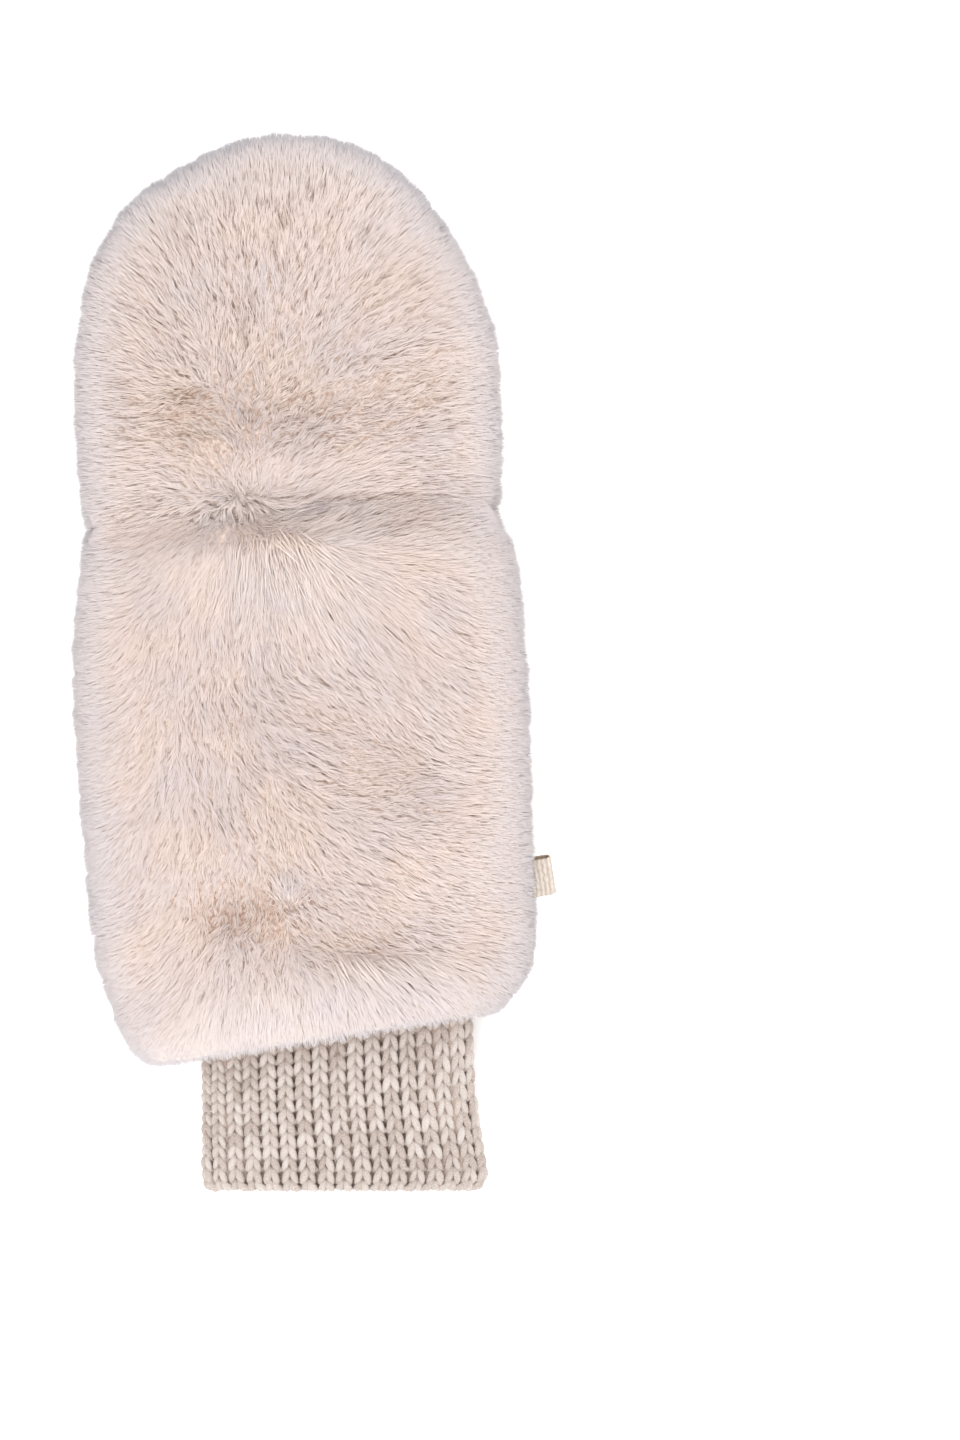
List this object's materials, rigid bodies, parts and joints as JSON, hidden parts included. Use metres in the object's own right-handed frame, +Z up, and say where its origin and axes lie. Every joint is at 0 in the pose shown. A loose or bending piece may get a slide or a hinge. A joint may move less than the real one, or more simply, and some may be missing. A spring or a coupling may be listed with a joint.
{
  "type": "fur mitten",
  "caption": "Long-piled faux-fur mitten lying on its palm, with a seamed finger cap, a hand part, a thumb folded under, a ribbed knitted cuff and a small side tag.",
  "frame": {"origin": "on the table, under the middle of the mitten's bounding box as it lies", "axes": "+Y towards the fingertips, +Z up out of the back of the hand, +X to the thumb and tag side, seen from above"},
  "size_m": [0.1254, 0.2752, 0.0443],
  "materials": {
    "cap_fur": "long-piled acrylic and polyester faux fur, cream tips over tan roots",
    "hand_fur": "long-piled acrylic and polyester faux fur, cream tips over tan roots",
    "thumb_fur": "long-piled acrylic and polyester faux fur, cream tips over tan roots",
    "rib_knit": "one-by-one rib knitted from heathered acrylic and wool yarn",
    "tag_ribbon": "woven grosgrain ribbon with fine cross ridges"
  },
  "bodies": {
    "root": {"fur_cap": "cap_fur", "fur_hand": "hand_fur", "fur_thumb": "thumb_fur", "knit_cuff": "rib_knit", "ribbon_tag": "tag_ribbon"}
  },
  "joints": []
}
